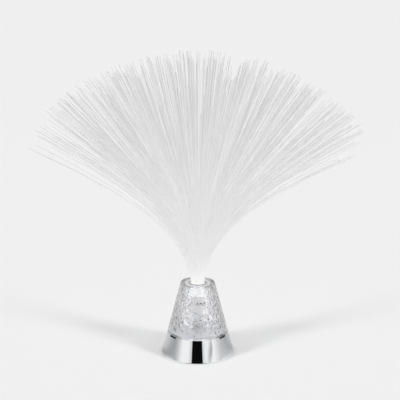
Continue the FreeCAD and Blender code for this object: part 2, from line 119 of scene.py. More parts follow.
def blank_material(name):
    """An empty node tree with its output and object coordinates."""
    material = bpy.data.materials.new(name)
    material.use_nodes = True
    tree = material.node_tree
    tree.nodes.clear()
    output = add(tree, "OutputMaterial")
    place = add(tree, "TexCoord").outputs["Object"]
    return material, tree, output, place


def ramp(tree, factor, stops):
    """A colour ramp through (position, linear colour) stops."""
    node = add(tree, "ValToRGB", links={"Fac": factor})
    node.color_ramp.elements[0].position, node.color_ramp.elements[0].color = stops[0]
    node.color_ramp.elements[1].position, node.color_ramp.elements[1].color = stops[-1]
    for position, colour in stops[1:-1]:
        node.color_ramp.elements.new(position).color = colour
    return node.outputs["Color"]


def per_metre(size_mm):
    """A texture scale that makes one feature this many millimetres wide."""
    return 1 / (size_mm * MM)


# %% [markdown]
# The studio is one pale sweep, so wide that the camera sees nothing else behind the lamp.
# Two soft suns from the front left and front right throw the two shadow bands of the photograph.
# A sun has no fall-off, so the table keeps one even tone out to the edges of the frame.
# The world adds the fill. Mirrors and glass see it a little brighter than matt surfaces do.

# %% Lights and world
sun_bearing = 56.5
sun_lift = 29
sun_softness = 13
sun_strength = 1.24
fill_strength = 0.595
seen_strength = 0.93

for side in (-1, 1):
    sun_data = bpy.data.lights.new("soft_sun", "SUN")
    sun_data.energy = sun_strength
    sun_data.angle = math.radians(sun_softness)
    sun = bpy.data.objects.new("soft_sun", sun_data)
    sun.rotation_euler = (math.radians(90 - sun_lift), 0, math.radians(side * sun_bearing))
    bpy.context.scene.collection.objects.link(sun)

world = bpy.data.worlds.new("studio")
world.use_nodes = True
bpy.context.scene.world = world
tree = world.node_tree
tree.nodes.clear()
path = add(tree, "LightPath")
direct = add(tree, "Math", {1: 0.5}, {0: path.outputs["Diffuse Depth"]}, operation="LESS_THAN")
seen = add(tree, "Math", links={0: path.outputs["Is Glossy Ray"], 1: direct.outputs[0]}, operation="MULTIPLY")
seen = add(tree, "Math", links={0: seen.outputs[0], 1: path.outputs["Is Transmission Ray"]},
           operation="MAXIMUM")
fill = add(tree, "Background", {"Color": linear("#FFFFFF"), "Strength": fill_strength})
bright = add(tree, "Background", {"Color": linear("#FFFFFF"), "Strength": seen_strength})
mix = add(tree, "MixShader", links={0: seen.outputs[0], 1: fill.outputs[0], 2: bright.outputs[0]})
add(tree, "OutputWorld", links={"Surface": mix.outputs[0]})
print("two suns and a fill of", fill_strength)

# %% [markdown]
# Polished metal and clear plastic show only their surroundings, so they are lit by what stands round them.
# A product studio puts white boxes, grey gaps and a black flag round the set.
# Here one ring wall stands for all of them. The paper changes in step: mirrors and glass see it in
# the same tones, a painted reflection in place of the lit paper. The tones follow the bearing from
# the front. Only mirrors and glass see them, so they neither light the lamp nor show behind it.
# Each has its own list: the chrome shows a few wide tones and one black flag, and the facets of the
# glass sparkle between many narrow boxes and flags.

# %% Tones of the surround
mirror_tones = [(-180, 0.64), (-125, 0.66), (-113, 0.60), (-102, 0.48), (-93, 0.40), (-84, 0.42),
                (-76, 0.53), (-68, 0.665), (-60, 0.86), (-53, 0.99), (-45, 1.01), (-31, 1.01),
                (-25, 0.80), (-19.8, 0.76), (-19.2, 0.004), (15.2, 0.004), (16.8, 0.72), (21, 0.86),
                (27, 0.98), (53, 1.03), (62, 0.92), (70, 0.81), (78, 0.69), (87, 0.60), (97, 0.53),
                (107, 0.45), (120, 0.52), (135, 0.60), (180, 0.60)]
glass_tones = [(-180, 0.95), (-171, 0.45), (-162, 0.95), (-150, 0.35), (-138, 0.80), (-122, 0.15),
               (-105, 0.50), (-88, 0.15), (-72, 0.75), (-60, 1.10), (-30, 0.50), (0, 1.10), (30, 0.50),
               (60, 1.10), (72, 0.75), (88, 0.15), (105, 0.50), (122, 0.15), (138, 0.80), (150, 0.35),
               (162, 0.95), (171, 0.45), (180, 0.95)]


def bearing_share(bearing):
    """Place of a bearing on a round gradient that starts at the back."""
    return (bearing + 180) / 360


def tone_ramp(tree, around, tones):
    """A grey ramp through (bearing, linear level) tones."""
    return ramp(tree, around, [(bearing_share(bearing), grey(level)) for bearing, level in tones])


def studio_tones(tree, place):
    """The bearing round the axis, the tone that mirrors see there and the one that glass sees."""
    turned_place = add(tree, "Mapping", {"Rotation": (0, 0, math.pi / 2)}, {"Vector": place})
    around = add(tree, "TexGradient", links={"Vector": turned_place.outputs["Vector"]},
                 gradient_type="RADIAL").outputs["Fac"]
    return around, tone_ramp(tree, around, mirror_tones), tone_ramp(tree, around, glass_tones)


# %% [markdown]
# The table is seamless paper, the matt sweep that small products are photographed on.
# A curved backdrop would do too, but from this camera a flat sheet fills the frame.
# Close to the lamp the glass sees a painted even grey in place of the lit paper. Round the foot the paper is
# darkened by a painted shade.

# %% Table
table_reach = 12.0
paper_grain_mm = 6.0
paper_tones = ("#F1F1F1", "#F2F2F2")
# Painted shade round the lamp's foot: its grey, and the distances from the axis over which it fades out
painted_foot_shade_colour = "#DADADA"
painted_foot_shade_reach = (37.0 * MM, 43.0 * MM)
# The painted grey that the glass sees in place of the paper near the lamp, and where the studio's tones take
# its place
painted_near_grey = 0.71
paper_fades = (90 * MM, 200 * MM)


def new_object(name, bm, materials):
    """Make an object at the origin of a bmesh and its materials."""
    mesh = bpy.data.meshes.new(name)
    bm.to_mesh(mesh)
    bm.free()
    for material in materials:
        mesh.materials.append(material)
    obj = bpy.data.objects.new(name, mesh)
    bpy.context.scene.collection.objects.link(obj)
    return obj


material, tree, output, place = blank_material("seamless_paper")
grain = add(tree, "TexNoise", {"Scale": per_metre(paper_grain_mm), "Detail": 3.0}, {"Vector": place})
tone = ramp(tree, grain.outputs["Fac"], [(0.3, linear(paper_tones[0])), (0.7, linear(paper_tones[1]))])
away = add(tree, "VectorMath", links={0: place}, operation="LENGTH").outputs["Value"]
# Painted shade: the paper's colour darkens towards the lamp's foot
painted_foot_shade = add(tree, "MapRange", {"From Min": painted_foot_shade_reach[0], "From Max": painted_foot_shade_reach[1]},
              {"Value": away})
tone = add(tree, "Mix", {"A": linear(painted_foot_shade_colour)}, {"Factor": painted_foot_shade.outputs[0], "B": tone},
           data_type="RGBA").outputs["Result"]
paper = add(tree, "BsdfPrincipled", {"Roughness": 0.9, "Specular IOR Level": 0.1}, {"Base Color": tone})
around, mirror_tone, glass_tone = studio_tones(tree, place)
# Painted reflection: mirrors and glass see the paper as glowing studio tones, not as the lit paper
painted_mirror_paper = add(tree, "Emission", links={"Color": mirror_tone})
far = add(tree, "MapRange", {"From Min": paper_fades[0], "From Max": paper_fades[1]}, {"Value": away})
glass_tone = add(tree, "Mix", {"A": grey(painted_near_grey)}, {"Factor": far.outputs[0], "B": glass_tone},
                 data_type="RGBA").outputs["Result"]
painted_glass_paper = add(tree, "Emission", links={"Color": glass_tone})
path = add(tree, "LightPath")
mix = add(tree, "MixShader", links={0: path.outputs["Is Glossy Ray"], 1: paper.outputs[0],
                                    2: painted_mirror_paper.outputs[0]})
mix = add(tree, "MixShader", links={0: path.outputs["Is Transmission Ray"], 1: mix.outputs[0],
                                    2: painted_glass_paper.outputs[0]})
tree.links.new(mix.outputs[0], output.inputs["Surface"])

bm = bmesh.new()
bmesh.ops.create_grid(bm, x_segments=1, y_segments=1, size=table_reach)
table = new_object("table", bm, [material])
print("table", 2 * table_reach, "m wide")

# %% [markdown]
# The boxes and flags could be separate panels. One open tube with a ramp round it is easier to match
# to the photograph. A small grey gap between two boxes throws the short streak on the skirt's right.

# %% Studio surround
surround_radius = 1.2
surround_height = 1.1
surround_steps = 96
gap_level = 0.42
gap_bearings = [(30, 0), (37, 0.7), (45, 1), (51.3, 1), (52.2, 0)]
gap_heights = [(0.085, 0), (0.102, 0.9), (0.112, 1), (0.120, 0.7), (0.135, 0.15)]

material, tree, output, place = blank_material("studio_surround")
around, mirror_tone, glass_tone = studio_tones(tree, place)
height = add(tree, "SeparateXYZ", links={"Vector": place}).outputs["Z"]
beside = tone_ramp(tree, around, gap_bearings)
beyond = ramp(tree, height, [(z, grey(share)) for z, share in gap_heights])
in_gap = add(tree, "Math", links={0: beside, 1: beyond}, operation="MULTIPLY")
mirror_tone = add(tree, "Mix", {"B": grey(gap_level)}, {"Factor": in_gap.outputs[0], "A": mirror_tone},
                  data_type="RGBA").outputs["Result"]
path = add(tree, "LightPath")
tone = add(tree, "Mix", links={"Factor": path.outputs["Is Transmission Ray"], "A": mirror_tone,
                               "B": glass_tone}, data_type="RGBA")
glow = add(tree, "Emission", links={"Color": tone.outputs["Result"]})
tree.links.new(glow.outputs["Emission"], output.inputs["Surface"])
bm = bmesh.new()
bmesh.ops.create_circle(bm, cap_ends=False, radius=surround_radius, segments=surround_steps)
made = bmesh.ops.extrude_edge_only(bm, edges=bm.edges)
top = [item for item in made["geom"] if isinstance(item, bmesh.types.BMVert)]
bmesh.ops.translate(bm, vec=(0, 0, surround_height), verts=top)
surround = new_object("studio_surround", bm, [material])
surround.visible_camera = False
surround.visible_diffuse = False
surround.visible_shadow = False
print("surround with", len(mirror_tones) + len(glass_tones), "tones")

# %% [markdown]
# The skirt is ABS with a bright chrome plate. Chrome is a hard blue-white metal.
# A roughness of zero would look drawn, so the polish varies a little on a wide wave.

# %% Chrome plate
wave_mm = 18.0
polish_range = (0.02, 0.06)

material, tree, output, place = blank_material("chrome_plated_abs")
ripple = add(tree, "TexNoise", {"Scale": per_metre(wave_mm), "Detail": 2.0}, {"Vector": place})
polish = add(tree, "MapRange", {"To Min": polish_range[0], "To Max": polish_range[1]},
             {"Value": ripple.outputs["Fac"]})
wave = add(tree, "Bump", {"Strength": 0.02, "Distance": 0.05 * MM}, {"Height": ripple.outputs["Fac"]})
metal = add(tree, "BsdfPrincipled", {"Base Color": linear("#EDEEF0"), "Metallic": 1.0},
            {"Roughness": polish.outputs[0], "Normal": wave.outputs["Normal"]})
tree.links.new(metal.outputs["BSDF"], output.inputs["Surface"])
chrome_plate = material

# %% [markdown]
# The cone is clear polystyrene, a glassy plastic with a high refractive index.
# Its outside is polished. Its hollow side is cut into small facets like cracked ice.
# Rays from lamps pass straight through, so that what lies inside is lit as it is behind real plastic.
# A glow at the rim stands for light that the tube gathers at its edges. A ray that has been turned
# back many times would end in black, so it ends in the mean tone of the studio.

# %% Clear styrene
styrene_ior = 1.58
resin_ior = 1.54
passed_tint = "#E0E1E2"
rim_range = (0.45, 0.9)
most_turns = 3.5
trapped_level = 0.28


def clear_plastic(name, tint, ior, roughness, bump_size, bump_height, rim_glow=0.0):
    """A clear plastic with a moulded unevenness, its size and height in millimetres."""
    material, tree, output, place = blank_material(name)
    cells = add(tree, "TexVoronoi", {"Scale": per_metre(bump_size)}, {"Vector": place}, feature="F1")
    relief = add(tree, "Bump", {"Strength": 1.0, "Distance": bump_height * MM},
                 {"Height": cells.outputs["Distance"]})
    facing = add(tree, "LayerWeight", {"Blend": 0.5}).outputs["Facing"]
    rim = add(tree, "MapRange", {"From Min": rim_range[0], "From Max": rim_range[1], "To Max": rim_glow},
              {"Value": facing})
    glass = add(tree, "BsdfPrincipled",
                {"Base Color": linear(tint), "Roughness": roughness, "IOR": ior, "Transmission Weight": 1.0,
                 "Emission Color": linear("#FFFFFF")},
                {"Normal": relief.outputs["Normal"], "Emission Strength": rim.outputs[0]})
    path = add(tree, "LightPath")
    turns = add(tree, "Math", {1: most_turns}, {0: path.outputs["Glossy Depth"]}, operation="GREATER_THAN")
    trapped = add(tree, "Emission", {"Color": grey(trapped_level)})
    glass = add(tree, "MixShader", links={0: turns.outputs[0], 1: glass.outputs[0], 2: trapped.outputs[0]})
    clear = add(tree, "BsdfTransparent", {"Color": linear(passed_tint)})
    mix = add(tree, "MixShader", links={0: path.outputs["Is Shadow Ray"], 1: glass.outputs[0],
                                        2: clear.outputs["BSDF"]})
    tree.links.new(mix.outputs[0], output.inputs["Surface"])
    return material


polished_styrene = clear_plastic("polished_clear_styrene", "#FEFEFF", styrene_ior, 0.02, 9.0, 0.01)
cracked_styrene = clear_plastic("cracked_ice_styrene", "#FEFEFF", styrene_ior, 0.02, 1.4, 0.03)
tube_styrene = clear_plastic("clear_styrene_tube", "#FEFEFF", styrene_ior, 0.05, 6.0, 0.02, rim_glow=0.55)
led_resin = clear_plastic("cast_clear_epoxy", "#F6F2E6", resin_ior, 0.05, 3.0, 0.01)

# %% [markdown]
# Each fibre is drawn acrylic half a millimetre thick. In a bundle it looks like white hair:
# clear by itself, but every strand scatters a little, so the fan turns a soft grey-white.
# The tone follows the height as painted light and shade: palest at the neck and greyer towards the top of the
# fan.
# Glass strands would be truer, but hundreds in a row take too many bounces.

# %% Fibre acrylic
# Painted glow of each strand, by its height between the neck and the top of the fan
painted_glow_levels = [(0.0, 0.06), (0.06, 0.025), (0.14, 0.02), (0.28, 0.06), (0.45, 0.11), (0.62, 0.125),
         (0.75, 0.11), (1.0, 0.08)]
painted_fan_shades = [(0.0, "#F2F2F2"), (0.2, "#EDEDED"), (0.5, "#E0E0E0"), (1.0, "#D1D1D1")]
streak_share = 0.12
through_share = 0.35
shadow_share = 0.992
neck_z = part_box("clear_cone")[1].z
fan_top = cad_box[1][2]

material, tree, output, place = blank_material("drawn_acrylic_fibre")
height = add(tree, "SeparateXYZ", links={"Vector": place}).outputs["Z"]
share = add(tree, "MapRange", {"From Min": neck_z, "From Max": fan_top}, {"Value": height})
# Painted shade: the strands turn greyer towards the top of the fan
painted_fan_shade = ramp(tree, share.outputs[0], [(stop, linear(colour)) for stop, colour in painted_fan_shades])
streak = add(tree, "TexNoise", {"Scale": per_metre(4.0), "Detail": 2.0}, {"Vector": place})
tone = add(tree, "Mix", {"Factor": streak_share}, {"A": painted_fan_shade, "B": streak.outputs["Color"]},
           data_type="RGBA", blend_type="SOFT_LIGHT")
# Painted light: each strand glows by its height in the fan
painted_glow = ramp(tree, share.outputs[0], [(stop, grey(glow)) for stop, glow in painted_glow_levels])
strand = add(tree, "BsdfPrincipled", {"Roughness": 0.35, "IOR": 1.49, "Emission Color": linear("#FFFFFF")},
             {"Base Color": tone.outputs["Result"], "Emission Strength": painted_glow})
through = add(tree, "BsdfTranslucent", links={"Color": tone.outputs["Result"]})
mix = add(tree, "MixShader", {0: through_share}, {1: strand.outputs["BSDF"], 2: through.outputs["BSDF"]})
path = add(tree, "LightPath")
let_by = add(tree, "Math", {1: shadow_share}, {0: path.outputs["Is Shadow Ray"]}, operation="MULTIPLY")
clear = add(tree, "BsdfTransparent")
mix = add(tree, "MixShader", links={0: let_by.outputs[0], 1: mix.outputs[0], 2: clear.outputs["BSDF"]})
tree.links.new(mix.outputs[0], output.inputs["Surface"])
fibre_acrylic = material

# %% [markdown]
# The parts that are moulded, plated or printed share one plain recipe.
# A fine relief at its real size catches the light, and the roughness varies a little with it.
# Noise draws the grain, because it needs no picture and stays sharp close up.

# %% Moulded and plated finishes
plastic_ior = 1.5
gloss_spread = 0.06
relief_share = 0.6


def plain_finish(name, pale, deep, roughness, grain_mm, relief_mm, metallic=0.0):
    """An opaque finish with a grain of a real size in its colour, roughness and relief."""
    material, tree, output, place = blank_material(name)
    grain = add(tree, "TexNoise", {"Scale": per_metre(grain_mm), "Detail": 4.0}, {"Vector": place})
    tone = ramp(tree, grain.outputs["Fac"], [(0.35, linear(deep)), (0.65, linear(pale))])
    gloss = add(tree, "MapRange", {"To Min": roughness - gloss_spread, "To Max": roughness + gloss_spread},
                {"Value": grain.outputs["Fac"]})
    relief = add(tree, "Bump", {"Strength": relief_share, "Distance": relief_mm * MM},
                 {"Height": grain.outputs["Fac"]})
    skin = add(tree, "BsdfPrincipled", {"Metallic": metallic, "IOR": plastic_ior},
               {"Base Color": tone, "Roughness": gloss.outputs[0], "Normal": relief.outputs["Normal"]})
    tree.links.new(skin.outputs["BSDF"], output.inputs["Surface"])
    return material


black_abs = plain_finish("textured_black_abs", "#1C1C1E", "#121214", 0.5, 0.35, 0.03)
knob_abs = plain_finish("smooth_black_abs", "#232326", "#1B1B1D", 0.35, 0.6, 0.01)
# Painted shade: the white reflector disc is given a pale grey for the shade it sits in
painted_grey_styrene = plain_finish("white_styrene_painted_grey", "#BDBEC1", "#B2B3B6", 0.3, 1.5, 0.01)
milky_styrene = plain_finish("milky_styrene", "#F3F3F3", "#EDEDEE", 0.3, 1.5, 0.01)
zinc_steel = plain_finish("bright_zinc_steel", "#C9CBCE", "#B4B7BA", 0.28, 0.8, 0.01, 1.0)
cell_wrap = plain_finish("plain_pvc_cell_sleeve", "#4A4F56", "#40454C", 0.25, 3.0, 0.01)
solder_mask = plain_finish("green_solder_mask", "#1F5A38", "#174A2D", 0.35, 1.2, 0.02)
epoxy_black = plain_finish("black_moulded_epoxy", "#2A2826", "#201F1D", 0.55, 0.4, 0.02)
red_pvc = plain_finish("red_wire_pvc", "#A3231D", "#8F1D18", 0.4, 1.0, 0.01)
black_pvc = plain_finish("black_wire_pvc", "#1D1D1F", "#151517", 0.4, 1.0, 0.01)
white_pvc = plain_finish("white_wire_pvc", "#D9D9D6", "#CBCBC8", 0.4, 1.0, 0.01)
cell_band = plain_finish("pale_cell_band", "#B9BDC2", "#ABAFB4", 0.3, 3.0, 0.01)
solder_tin = plain_finish("bright_solder_tin", "#D6D8DA", "#BFC2C5", 0.3, 0.5, 0.02, 1.0)
resistor_beige = plain_finish("beige_resistor_lacquer", "#D2BD93", "#C5AF84", 0.35, 0.5, 0.01)
band_brown = plain_finish("brown_band_ink", "#5A3320", "#4C2B1A", 0.4, 0.5, 0.005)
band_red = plain_finish("red_band_ink", "#A92A22", "#97241D", 0.4, 0.5, 0.005)
band_gold = plain_finish("gold_band_ink", "#B08D3C", "#9E7D33", 0.35, 0.5, 0.005)
print(len(bpy.data.materials), "materials")

# %% [markdown]
# A turned piece is drawn as a half outline and spun once round the axis.
# Its corners are then bevelled, because a moulding has no knife edges and light gathers on them.
# A piece keeps its object at the origin, with its place in the mesh.

# %% Helpers for shapes


def turn(outline, steps, closed=True):
    """A ring-shaped or solid body turned from (radius, height) points in metres."""
    bm = bmesh.new()
    verts = [bm.verts.new((radius, 0, z)) for radius, z in outline]
    pairs = list(zip(verts, verts[1:]))
    if closed:
        pairs.append((verts[-1], verts[0]))
    edges = [bm.edges.new(pair) for pair in pairs]
    bmesh.ops.spin(bm, geom=verts + edges, cent=(0, 0, 0), axis=(0, 0, 1), dvec=(0, 0, 0),
                   angle=2 * math.pi, steps=steps, use_merge=True)
    bmesh.ops.remove_doubles(bm, verts=bm.verts, dist=0.001 * MM)
    bmesh.ops.recalc_face_normals(bm, faces=bm.faces)
    return bm


def solid(outline_mm, steps):
    """A solid body turned from (radius, height) points in millimetres, from axis to axis."""
    return turn([(radius * MM, z * MM) for radius, z in outline_mm], steps, closed=False)


def bevel(bm, edges, width_mm, segments):
    """Round some edges with a bevel of a width in millimetres."""
    bmesh.ops.bevel(bm, geom=edges, offset=width_mm * MM, offset_type="OFFSET", affect="EDGES",
                    segments=segments, profile=0.5, material=-1, clamp_overlap=True)


def round_edges(bm, width_mm, segments, sharpest=25):
    """Bevel every edge that turns by more than this many degrees."""
    limit = math.radians(sharpest)
    edges = [e for e in bm.edges if len(e.link_faces) == 2 and e.calc_face_angle(0) > limit]
    bevel(bm, edges, width_mm, segments)


def piece(name, bm, materials, body, replaced, smooth=True):
    obj = new_object(name, bm, materials)
    if smooth:
        obj.data.shade_smooth()
    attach(obj, body)
    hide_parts(*replaced)
    print(name, len(obj.data.polygons), "faces")
    return obj


def weigh_normals(obj):
    """Let large faces set the shading, so that a bevel doesn't bend a flat or a mirror."""
    weights = obj.modifiers.new("Face weights", "WEIGHTED_NORMAL")
    weights.keep_sharp = True


# %% [markdown]
# The chrome skirt is a thin cone with an inward flange. Its foot is rolled and its rim barely broken.
# The clear cone's clips go through three slots in the flange. Outside each slot the rim has a shallow
# notch, and the two in front read as short dark dashes. Slots and notches are cut with a boolean
# modifier, because a cutter is clearer than taking faces out by number.

# %% Chrome skirt
foot_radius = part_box("base_skirt")[1].x
rim_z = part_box("base_skirt")[1].z
cone_top_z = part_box("clear_cone")[1].z
shoulder_radius = 17.9 * MM
skirt_wall = 2.0 * MM
flange_thickness = 2.0 * MM
flange_width = 5.2 * MM
foot_rounding_mm = 0.5
rim_rounding_mm = 0.35
# How near a point has to lie to count as on a level, and the turn in radians that makes a corner
near = 0.1 * MM
corner_turn = 0.5


def cone_radius(z):
    """Radius of the lamp's outer cone at a height."""
    return foot_radius - (foot_radius - shoulder_radius) * z / cone_top_z


clip_bearings = [90, 215, 325]
slot_inner = 27.09 * MM
slot_outer = 29.69 * MM
slot_half_width = 3.45 * MM
notch_half_width = 5.0 * MM
notch_depth = 1.8 * MM

flange_low = rim_z - flange_thickness
outline = [(foot_radius, 0), (cone_radius(rim_z), rim_z),
           (cone_radius(rim_z) - skirt_wall - flange_width, rim_z),
           (cone_radius(rim_z) - skirt_wall - flange_width, flange_low),
           (cone_radius(flange_low) - skirt_wall, flange_low), (foot_radius - skirt_wall, 0)]
bm = turn(outline, steps=128)
bevel(bm, [e for e in bm.edges if all(v.co.z < near and v.co.xy.length > foot_radius - MM for v in e.verts)],
      foot_rounding_mm, 5)
bevel(bm, [e for e in bm.edges if all(v.co.z > rim_z - near for v in e.verts)
           and e.calc_face_angle(0) > corner_turn], rim_rounding_mm, 3)


def add_block(bm, x_low, x_high, half_width, z_low, z_high, bearing):
    """A box that reaches out from the axis, turned to a bearing."""
    made = bmesh.ops.create_cube(bm, size=1.0)
    bmesh.ops.scale(bm, vec=(x_high - x_low, 2 * half_width, z_high - z_low), verts=made["verts"])
    bmesh.ops.translate(bm, vec=((x_high + x_low) / 2, 0, (z_high + z_low) / 2), verts=made["verts"])
    bmesh.ops.rotate(bm, matrix=Matrix.Rotation(math.radians(bearing), 3, "Z"), verts=made["verts"])


def combine(obj, bm, material, operation):
    """Take a mesh from a piece or join it on, and keep the result as the piece's mesh."""
    other = new_object("tool", bm, [material])
    step = obj.modifiers.new("Combine", "BOOLEAN")
    step.operation = operation
    step.solver = "EXACT"
    step.material_mode = "TRANSFER"
    step.object = other
    bpy.context.view_layer.update()
    mesh = bpy.data.meshes.new_from_object(obj.evaluated_get(bpy.context.evaluated_depsgraph_get()))
    obj.modifiers.remove(step)
    obj.data = mesh
    bpy.data.objects.remove(other)


skirt = piece("chrome_skirt", bm, [chrome_plate], "lamp", ["base_skirt"])
clip_slot = (slot_inner, slot_outer, slot_half_width, 2 * flange_thickness)
rim_notch = (slot_outer - 0.2 * MM, foot_radius, notch_half_width, notch_depth)
for low, high, half_width, depth in (clip_slot, rim_notch):
    bm = bmesh.new()
    for bearing in clip_bearings:
        add_block(bm, low, high, half_width, rim_z - depth, rim_z + depth, bearing)
    combine(skirt, bm, black_abs, "DIFFERENCE")
weigh_normals(skirt)

# %% [markdown]
# The clear cone is a hollow moulding, polished outside. A socket for the bundle hangs from its top.
# Its hollow is a sleeve of small facets. Each corner is pushed inward by its own random amount.
# The facets keep flat shading, so that each one throws its own glint.
# The neck's wall is thicker, and its facets are shallower. The socket's outer wall is matt.
# Glass bends rays by the shading, so sharp edges are marked and large faces set their corners' shading.
# A bump map on a solid would be quicker, but it has no inner wall to look through.

# %% Clear cone
cone_wall = 3.4 * MM
neck_wall = 5.2 * MM
neck_low = 58.0 * MM
neck_ledge = 1.5 * MM
roof_z = 73.8 * MM
ice_depth = 0.8 * MM
neck_ice_depth = 0.4 * MM
ice_cell = 1.9 * MM
ice_shift = 0.35
foot_band = 2.6 * MM
foot_gap = 0.05 * MM
socket_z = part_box("bundle_sleeve")[0].z
socket_foot = socket_z - 1.0 * MM
mouth_radius = 8.1 * MM
socket_radius = 9.8 * MM
light_hole_radius = 6.6 * MM
cone_steps = 84
mouth_rounding_mm = 0.9
sharp_turn = math.radians(30)


def wall_thickness(z):
    """Wall of the hollow cone at a height: thin below, thick in the neck, with a sloped ledge between."""
    share = min(1, max(0, (z - neck_low) / neck_ledge))
    return cone_wall + (neck_wall - cone_wall) * share


band_top = rim_z + foot_band
ice_rows = int((roof_z - band_top) / ice_cell)
ice_heights = [roof_z + (band_top - roof_z) * row / ice_rows for row in range(ice_rows + 1)]
foot_z = rim_z + foot_gap
outline = [(cone_radius(foot_z), foot_z), (cone_radius(cone_top_z), cone_top_z), (mouth_radius, cone_top_z),
           (mouth_radius, socket_z), (light_hole_radius, socket_z), (light_hole_radius, socket_foot),
           (socket_radius, socket_foot), (socket_radius, roof_z)]
outline += [(cone_radius(z) - wall_thickness(z), z) for z in ice_heights]
outline += [(cone_radius(foot_z) - cone_wall, foot_z)]
bm = turn(outline, steps=cone_steps)


def is_hollow(vert):
    """True for the corners of the faceted hollow, between its foot band and its roof."""
    margin = 2 * near
    wall = cone_radius(vert.co.z) - wall_thickness(vert.co.z)
    inside = abs(vert.co.xy.length - wall) < margin
    return inside and band_top + margin < vert.co.z < roof_z - margin


random.seed(4)
for vert in [v for v in bm.verts if is_hollow(v)]:
    outward = vert.co.xy.normalized().to_3d()
    aside = Vector((-outward.y, outward.x, 0))
    depth = neck_ice_depth if vert.co.z > neck_low + neck_ledge else ice_depth
    vert.co -= outward * random.uniform(0, depth)
    vert.co += aside * random.uniform(-ice_shift, ice_shift) * ice_cell
    vert.co.z += random.uniform(-ice_shift, ice_shift) * ice_cell
hollow = [f for f in bm.faces if all(band_top - near < v.co.z < roof_z + near for v in f.verts)
          and f.calc_center_median().xy.length < cone_radius(f.calc_center_median().z) - 0.8 * cone_wall
          and f.calc_center_median().xy.length > socket_radius + MM and abs(f.normal.z) < 0.95]
bmesh.ops.triangulate(bm, faces=hollow)
bevel(bm, [e for e in bm.edges if all(v.co.z > cone_top_z - near for v in e.verts)
           and e.calc_face_angle(0) > corner_turn], mouth_rounding_mm, 4)
for face in bm.faces:
    centre = face.calc_center_median()
    faceted = len(face.verts) == 3 and centre.z < roof_z
    face.smooth = not faceted
    on_socket = centre.xy.length < socket_radius + near and socket_foot - near < centre.z < roof_z
    matt = on_socket and centre.xy.length > mouth_radius + near
    face.material_index = 1 if faceted else 2 if matt else 0
for edge in bm.edges:
    edge.smooth = edge.calc_face_angle(0) < sharp_turn
cone = piece("clear_ice_cone", bm, [polished_styrene, cracked_styrene, milky_styrene], "lamp",
             ["clear_cone"], smooth=False)

# %% [markdown]
# Three snap clips hold the cone, each a flat finger with a hook under the flange.
# They belong to the same moulding, so their boxes are joined on with a boolean.

# %% Clips of the clear cone
clip_inner = 28.1 * MM
clip_outer = 29.49 * MM
hook_inner = 27.29 * MM
clip_half_width = 3.25 * MM
hook_high = flange_low - 0.2 * MM
hook_low = hook_high - 1.6 * MM
clip_root = rim_z + 0.6 * MM
finger = (clip_inner, clip_outer, clip_root)
hook = (hook_inner, clip_inner + 0.2 * MM, hook_high)
for bearing in clip_bearings:
    for low, high, top in (finger, hook):
        bm = bmesh.new()
        add_block(bm, low, high, clip_half_width, hook_low, top, bearing)
        combine(cone, bm, polished_styrene, "UNION")
weigh_normals(cone)
print("cone with", len(cone.data.polygons), "faces and", len(clip_bearings), "clips")

# %% [markdown]
# Inside the cone a clear tapered tube leads the light up. Its two walls read as bright upright bands.
# Under it a disc of white styrene, painted pale grey for the shade it sits in, closes the base,
# with a cupped collar round the domed light source.
# A milky ferrule holds the fibres. All four are round, so each is one outline that is spun.

# %% Light tube, reflector and light source
tube_low, tube_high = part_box("light_tube")
tube_top_radius = 8.5 * MM
tube_wall = 1.2 * MM
tube_foot_radius = tube_high.x
bm = turn([(tube_foot_radius, tube_low.z), (tube_top_radius, tube_high.z),
           (tube_top_radius - tube_wall, tube_high.z), (tube_foot_radius - tube_wall, tube_low.z)], 72)
round_edges(bm, 0.3, 2)
weigh_normals(piece("clear_light_tube", bm, [tube_styrene], "lamp", ["light_tube"]))

disc_low, disc_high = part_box("reflector")
disc_radius = disc_high.x
disc_thickness = 1.0 * MM
disc_top = disc_low.z + disc_thickness
collar_radius = 9.0 * MM
cup_radius = 7.8 * MM
lamp_hole_radius = 2.65 * MM
bm = turn([(lamp_hole_radius, disc_low.z), (disc_radius, disc_low.z), (disc_radius, disc_top),
           (collar_radius, disc_top), (collar_radius, disc_high.z), (cup_radius, disc_high.z),
           (lamp_hole_radius, disc_top)], 72)
round_edges(bm, 0.25, 3)
weigh_normals(piece("cupped_reflector", bm, [painted_grey_styrene], "lamp", ["reflector"]))

lamp_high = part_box("light_source")[1]
lamp_radius = 2.5 * MM
lamp_flange = 2.95 * MM
flange_z = disc_low.z - disc_thickness
dome_z = lamp_high.z - lamp_radius
dome = [(lamp_radius * math.cos(a), dome_z + lamp_radius * math.sin(a))
        for a in [math.radians(15 * i) for i in range(6)]] + [(0, lamp_high.z)]
bm = turn([(0, flange_z), (lamp_flange, flange_z), (lamp_flange, disc_low.z),
           (lamp_radius, disc_low.z)] + dome, 48, closed=False)
round_edges(bm, 0.12, 2, 60)
weigh_normals(piece("light_source_lens", bm, [led_resin], "lamp", ["light_source"]))

sleeve_low, sleeve_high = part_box("bundle_sleeve")
sleeve_radius = sleeve_high.x
sleeve_bore = sleeve_radius - 0.5 * MM
bm = turn([(sleeve_radius, sleeve_low.z), (sleeve_radius, sleeve_high.z), (sleeve_bore, sleeve_high.z),
           (sleeve_bore, sleeve_low.z)], 72)
round_edges(bm, 0.15, 2)
weigh_normals(piece("bundle_ferrule", bm, [milky_styrene], "lamp", ["bundle_sleeve"]))

# %% [markdown]
# The spray is the lamp's face: several hundred fibres, each half a millimetre thick.
# They are packed like the seeds of a sunflower at the neck, which fills a round hole evenly.
# A fibre leaves the neck upright, then leans out. The lean grows fast at first and then fades,
# as a stiff strand does that is gripped at its foot. Neighbours lean together in loose locks.
# Particle hair can't be exported, so each is one spline of a bevelled curve, made a mesh at the end.
# A fan this dense would throw too dark a shadow, so the strands of the outer rings throw none.

# %% Rods along lines


